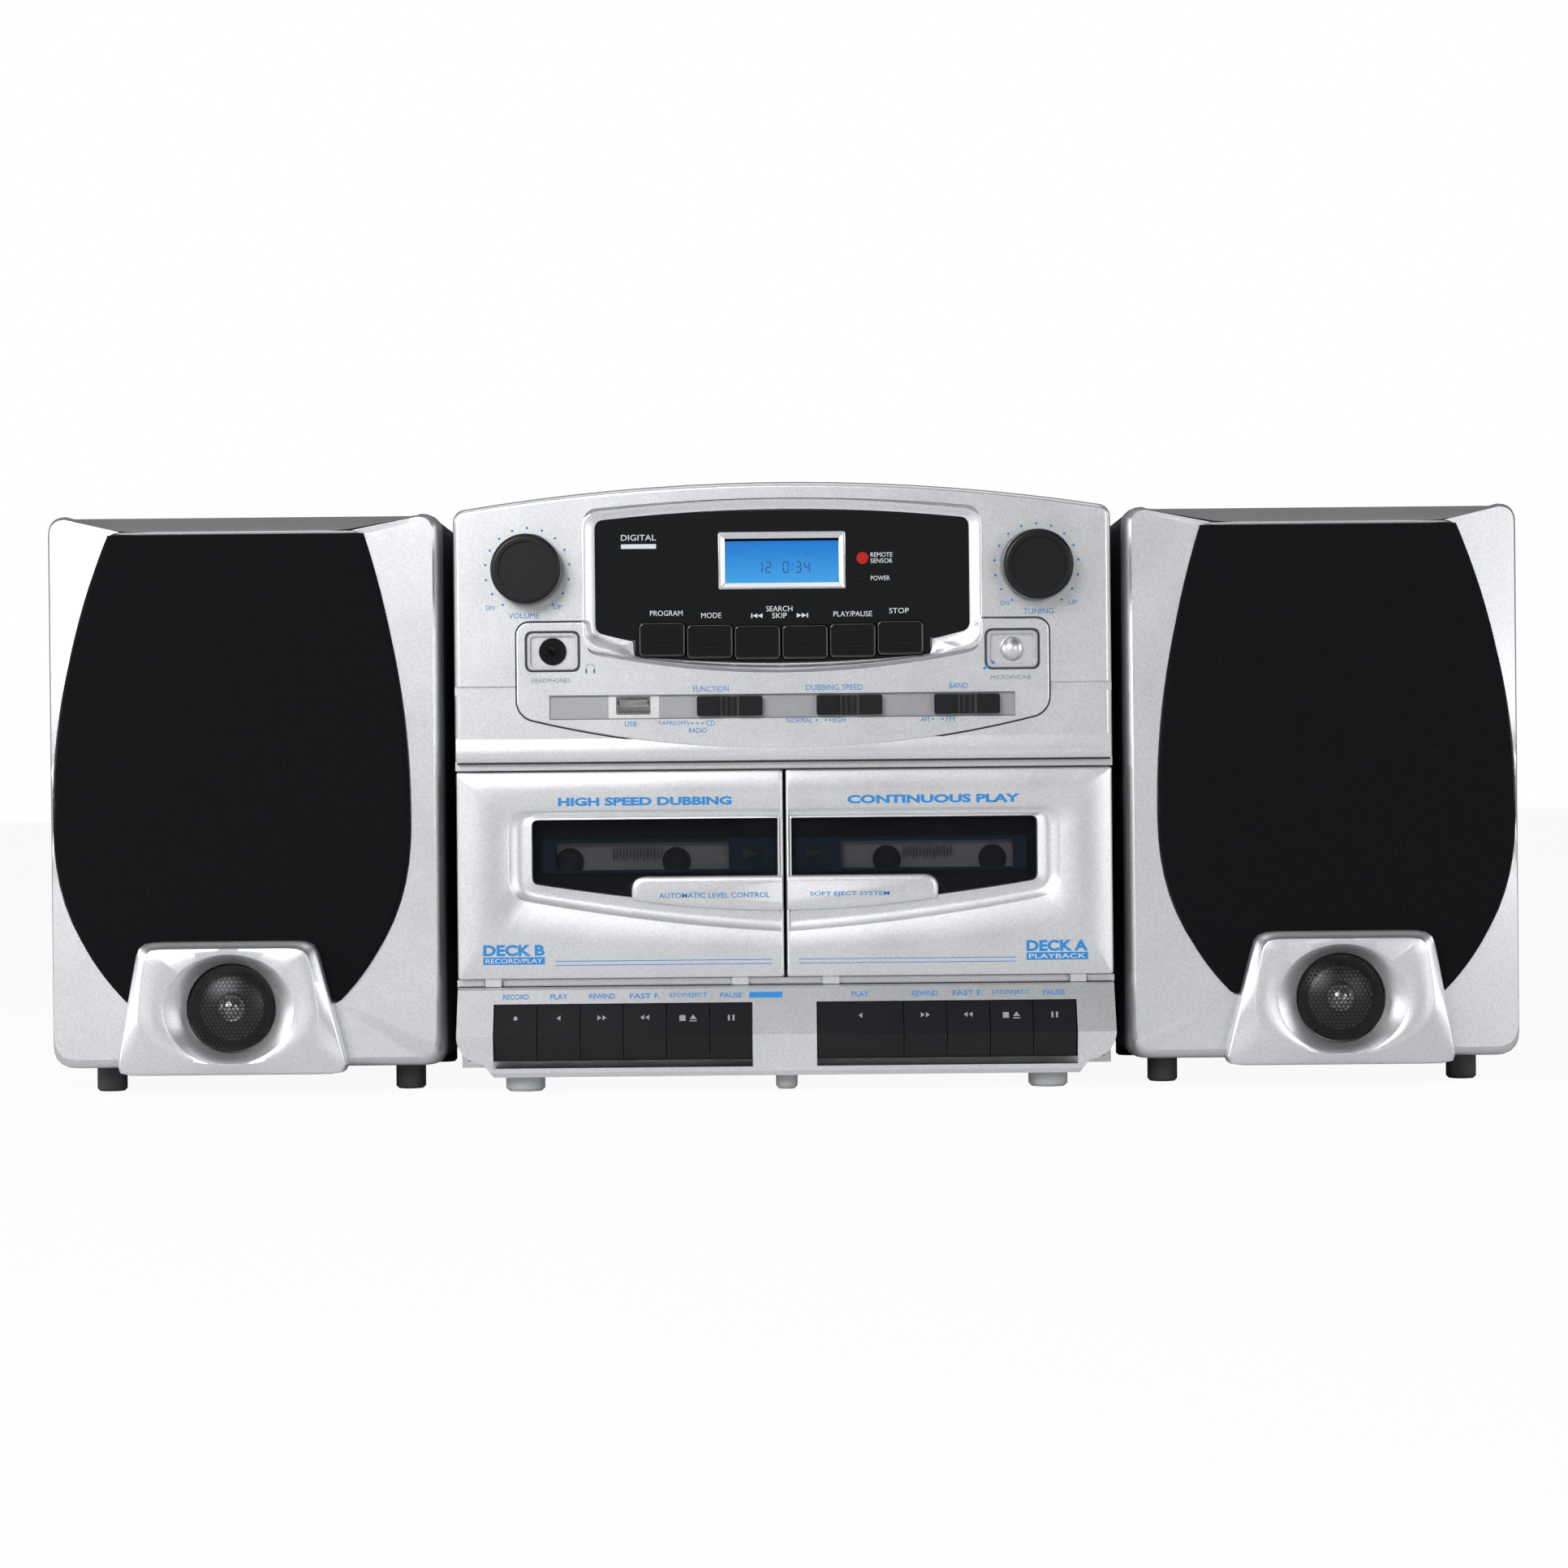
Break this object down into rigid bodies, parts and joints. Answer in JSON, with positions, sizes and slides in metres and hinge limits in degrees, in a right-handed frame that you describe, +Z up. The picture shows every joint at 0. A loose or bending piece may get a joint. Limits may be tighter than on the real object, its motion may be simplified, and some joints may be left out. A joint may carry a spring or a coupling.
{
  "type": "boombox",
  "caption": "Portable stereo with disc player, twin cassette decks, tuner, piano keys, folding handle and lift-off side speakers.",
  "frame": {"origin": "bottom centre of the whole object, on the surface it stands on", "axes": "+X to the viewer's right across the front, +Y to the back, +Z up"},
  "size_m": [0.583, 0.205, 0.241],
  "materials": {
    "silver_plastic": "satin metallic flake",
    "dark_plastic": "fine texture",
    "black_plastic": "satin",
    "black_gloss": "polished",
    "smoked_window": "clear smoked plastic",
    "red_lens": "translucent",
    "plated_steel": "bright plated",
    "grey_rubber": "soft",
    "brushed_steel": "pressed steel",
    "board": "laminate",
    "grille_cloth": "stretched cloth",
    "tweeter_mesh": "perforated",
    "paper_cone": "paper pulp"
  },
  "bodies": {
    "main_unit": {"front_cabinet": "silver_plastic", "control_panel": "silver_plastic", "key_fascia": "silver_plastic", "rear_cabinet": "dark_plastic", "display_window": "black_gloss", "lcd_module": "silver_plastic", "headphone_jack": "black_gloss", "usb_socket": "plated_steel", "indicator_lenses": "red_lens", "main_feet": "grey_rubber", "cd_well": "dark_plastic", "tape_mechanism": "brushed_steel", "main_board": "board", "rear_sockets": "black_gloss"},
    "program_button": {"program_button": "black_gloss"},
    "mode_button": {"mode_button": "black_gloss"},
    "skip_back_button": {"skip_back_button": "black_gloss"},
    "skip_forward_button": {"skip_forward_button": "black_gloss"},
    "play_pause_button": {"play_pause_button": "black_gloss"},
    "stop_button": {"stop_button": "black_gloss"},
    "volume_knob": {"volume_knob": "black_plastic"},
    "tuning_knob": {"tuning_knob": "black_plastic"},
    "function_switch": {"function_switch": "black_plastic"},
    "dubbing_switch": {"dubbing_switch": "black_plastic"},
    "band_switch": {"band_switch": "black_plastic"},
    "deck_b_door": {"deck_b_door": "silver_plastic", "deck_b_window": "smoked_window"},
    "deck_a_door": {"deck_a_door": "silver_plastic", "deck_a_window": "smoked_window"},
    "b_record_key": {"b_record_key": "black_plastic"},
    "b_play_key": {"b_play_key": "black_plastic"},
    "b_rewind_key": {"b_rewind_key": "black_plastic"},
    "b_fast_forward_key": {"b_fast_forward_key": "black_plastic"},
    "b_stop_eject_key": {"b_stop_eject_key": "black_plastic"},
    "b_pause_key": {"b_pause_key": "black_plastic"},
    "a_play_key": {"a_play_key": "black_plastic"},
    "a_rewind_key": {"a_rewind_key": "black_plastic"},
    "a_fast_forward_key": {"a_fast_forward_key": "black_plastic"},
    "a_stop_eject_key": {"a_stop_eject_key": "black_plastic"},
    "a_pause_key": {"a_pause_key": "black_plastic"},
    "cd_lid": {"cd_lid": "silver_plastic"},
    "cd_turntable": {"cd_turntable": "black_plastic"},
    "laser_pickup": {"laser_pickup": "black_plastic"},
    "carry_handle": {"carry_handle": "dark_plastic"},
    "battery_door": {"battery_door": "dark_plastic"},
    "antenna_base": {"antenna_base": "dark_plastic"},
    "antenna_tube": {"antenna_tube": "plated_steel"},
    "antenna_rod": {"antenna_rod": "plated_steel"},
    "left_speaker": {"left_speaker_box": "dark_plastic", "left_speaker_fascia": "silver_plastic", "left_grille": "grille_cloth", "left_tweeter_housing": "silver_plastic", "left_tweeter": "tweeter_mesh", "left_woofer": "paper_cone"},
    "right_speaker": {"right_speaker_box": "dark_plastic", "right_speaker_fascia": "silver_plastic", "right_grille": "grille_cloth", "right_tweeter_housing": "silver_plastic", "right_tweeter": "tweeter_mesh", "right_woofer": "paper_cone"}
  },
  "joints": [
    {"name": "program_button_press", "type": "slide", "parent": "main_unit", "child": "program_button", "axis": [0, 1, 0], "range_m": [0, 0.001]},
    {"name": "mode_button_press", "type": "slide", "parent": "main_unit", "child": "mode_button", "axis": [0, 1, 0], "range_m": [0, 0.001]},
    {"name": "skip_back_button_press", "type": "slide", "parent": "main_unit", "child": "skip_back_button", "axis": [0, 1, 0], "range_m": [0, 0.001]},
    {"name": "skip_forward_button_press", "type": "slide", "parent": "main_unit", "child": "skip_forward_button", "axis": [0, 1, 0], "range_m": [0, 0.001]},
    {"name": "play_pause_button_press", "type": "slide", "parent": "main_unit", "child": "play_pause_button", "axis": [0, 1, 0], "range_m": [0, 0.001]},
    {"name": "stop_button_press", "type": "slide", "parent": "main_unit", "child": "stop_button", "axis": [0, 1, 0], "range_m": [0, 0.001]},
    {"name": "volume_knob_turn", "type": "hinge", "parent": "main_unit", "child": "volume_knob", "pos_m": [-0.101, -0.0935, 0.2067], "axis": [0, 1, 0], "range_deg": [-144, 144]},
    {"name": "tuning_knob_turn", "type": "hinge", "parent": "main_unit", "child": "tuning_knob", "pos_m": [0.101, -0.0935, 0.2067], "axis": [0, 1, 0], "range_deg": [-144, 144]},
    {"name": "function_switch_slide", "type": "slide", "parent": "main_unit", "child": "function_switch", "axis": [1, 0, 0], "range_m": [-0.0041, 0]},
    {"name": "dubbing_switch_slide", "type": "slide", "parent": "main_unit", "child": "dubbing_switch", "axis": [1, 0, 0], "range_m": [0, 0.0041]},
    {"name": "band_switch_slide", "type": "slide", "parent": "main_unit", "child": "band_switch", "axis": [1, 0, 0], "range_m": [-0.0041, 0]},
    {"name": "deck_b_door_swing", "type": "hinge", "parent": "main_unit", "child": "deck_b_door", "pos_m": [-0.065, -0.0865, 0.0475], "axis": [1, 0, 0], "range_deg": [0, 30]},
    {"name": "deck_a_door_swing", "type": "hinge", "parent": "main_unit", "child": "deck_a_door", "pos_m": [0.065, -0.0865, 0.0475], "axis": [1, 0, 0], "range_deg": [0, 30]},
    {"name": "b_record_key_press", "type": "hinge", "parent": "main_unit", "child": "b_record_key", "pos_m": [0, -0.0415, 0.036], "axis": [1, 0, 0], "range_deg": [0, 4.5]},
    {"name": "b_play_key_press", "type": "hinge", "parent": "main_unit", "child": "b_play_key", "pos_m": [0, -0.0415, 0.036], "axis": [1, 0, 0], "range_deg": [0, 4.5]},
    {"name": "b_rewind_key_press", "type": "hinge", "parent": "main_unit", "child": "b_rewind_key", "pos_m": [0, -0.0415, 0.036], "axis": [1, 0, 0], "range_deg": [0, 4.5]},
    {"name": "b_fast_forward_key_press", "type": "hinge", "parent": "main_unit", "child": "b_fast_forward_key", "pos_m": [0, -0.0415, 0.036], "axis": [1, 0, 0], "range_deg": [0, 4.5]},
    {"name": "b_stop_eject_key_press", "type": "hinge", "parent": "main_unit", "child": "b_stop_eject_key", "pos_m": [0, -0.0415, 0.036], "axis": [1, 0, 0], "range_deg": [0, 4.5]},
    {"name": "b_pause_key_press", "type": "hinge", "parent": "main_unit", "child": "b_pause_key", "pos_m": [0, -0.0415, 0.036], "axis": [1, 0, 0], "range_deg": [0, 4.5]},
    {"name": "a_play_key_press", "type": "hinge", "parent": "main_unit", "child": "a_play_key", "pos_m": [0, -0.0415, 0.036], "axis": [1, 0, 0], "range_deg": [0, 4.5]},
    {"name": "a_rewind_key_press", "type": "hinge", "parent": "main_unit", "child": "a_rewind_key", "pos_m": [0, -0.0415, 0.036], "axis": [1, 0, 0], "range_deg": [0, 4.5]},
    {"name": "a_fast_forward_key_press", "type": "hinge", "parent": "main_unit", "child": "a_fast_forward_key", "pos_m": [0, -0.0415, 0.036], "axis": [1, 0, 0], "range_deg": [0, 4.5]},
    {"name": "a_stop_eject_key_press", "type": "hinge", "parent": "main_unit", "child": "a_stop_eject_key", "pos_m": [0, -0.0415, 0.036], "axis": [1, 0, 0], "range_deg": [0, 4.5]},
    {"name": "a_pause_key_press", "type": "hinge", "parent": "main_unit", "child": "a_pause_key", "pos_m": [0, -0.0415, 0.036], "axis": [1, 0, 0], "range_deg": [0, 4.5]},
    {"name": "cd_lid_swing", "type": "hinge", "parent": "main_unit", "child": "cd_lid", "pos_m": [0, 0.0635, 0.2374], "axis": [1, 0, 0], "range_deg": [-72, 0]},
    {"name": "cd_turntable_spin", "type": "hinge", "parent": "main_unit", "child": "cd_turntable", "pos_m": [0, -0.0035, 0.212], "axis": [0, 0, 1], "continuous": true},
    {"name": "laser_pickup_travel", "type": "slide", "parent": "main_unit", "child": "laser_pickup", "axis": [0, 1, 0], "range_m": [0, 0.03]},
    {"name": "carry_handle_swing", "type": "hinge", "parent": "main_unit", "child": "carry_handle", "pos_m": [0, 0.0905, 0.216], "axis": [1, 0, 0], "range_deg": [0, 180]},
    {"name": "battery_door_slide", "type": "slide", "parent": "main_unit", "child": "battery_door", "axis": [0, 1, 0], "range_m": [0, 0.1]},
    {"name": "antenna_turn", "type": "hinge", "parent": "main_unit", "child": "antenna_base", "pos_m": [0.096, 0.0951, 0.122], "axis": [0, 0, 1], "range_deg": [-120, 0]},
    {"name": "antenna_tilt", "type": "hinge", "parent": "antenna_base", "child": "antenna_tube", "pos_m": [0.096, 0.0998, 0.1295], "axis": [0, 1, 0], "range_deg": [0, 90]},
    {"name": "antenna_extend", "type": "slide", "parent": "antenna_tube", "child": "antenna_rod", "axis": [-1, 0, 0], "range_m": [0, 0.15]},
    {"name": "left_speaker_lift", "type": "slide", "parent": "main_unit", "child": "left_speaker", "axis": [0, 0, 1], "range_m": [0, 0.135]},
    {"name": "right_speaker_lift", "type": "slide", "parent": "main_unit", "child": "right_speaker", "axis": [0, 0, 1], "range_m": [0, 0.135]}
  ]
}
